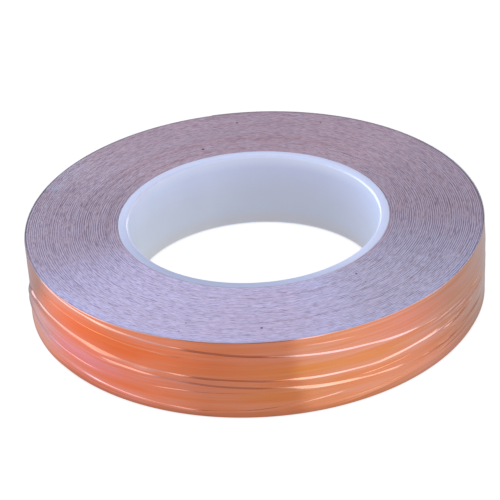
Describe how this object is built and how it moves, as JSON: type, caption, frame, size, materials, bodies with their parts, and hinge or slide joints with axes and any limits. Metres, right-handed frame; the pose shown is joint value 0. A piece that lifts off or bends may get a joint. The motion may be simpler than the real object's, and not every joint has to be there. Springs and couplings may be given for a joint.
{
  "type": "copper foil tape roll",
  "caption": "Flat roll of adhesive-backed copper foil tape with a paper release liner, wound on an open plastic core. The free end lifts, and its foil peels off the liner.",
  "frame": {"origin": "centre of the flat face the roll lies on, on the winding axis", "axes": "+Z along the winding axis, up from the face the roll lies on; the tape's free end is at the +Y side"},
  "size_m": [0.1387, 0.1389, 0.025],
  "materials": {
    "core_plastic": "satin",
    "glue": "satin",
    "tape_edges": "matte",
    "liner_paper": "satin",
    "adhesive": "gloss",
    "copper_foil": "polished"
  },
  "bodies": {
    "roll": {"core": "core_plastic", "glue_strip": "glue", "wound_turns": "tape_edges", "liner_last_turn": "liner_paper", "adhesive_last_turn": "adhesive", "foil_last_turn": "copper_foil"},
    "tape_end": {"liner_end": "liner_paper", "adhesive_end_root": "adhesive", "foil_end_root": "copper_foil"},
    "peeled_foil": {"adhesive_end": "adhesive", "foil_end": "copper_foil"}
  },
  "joints": [
    {"name": "tape_end_lift", "type": "hinge", "parent": "roll", "child": "tape_end", "pos_m": [0.01765, 0.06702, 0.0125], "axis": [0, 0, -1], "range_deg": [0, 60]},
    {"name": "foil_peel", "type": "hinge", "parent": "tape_end", "child": "peeled_foil", "pos_m": [0.00876, 0.06886, 0.0125], "axis": [0, 0, -1], "range_deg": [0, 75]}
  ]
}
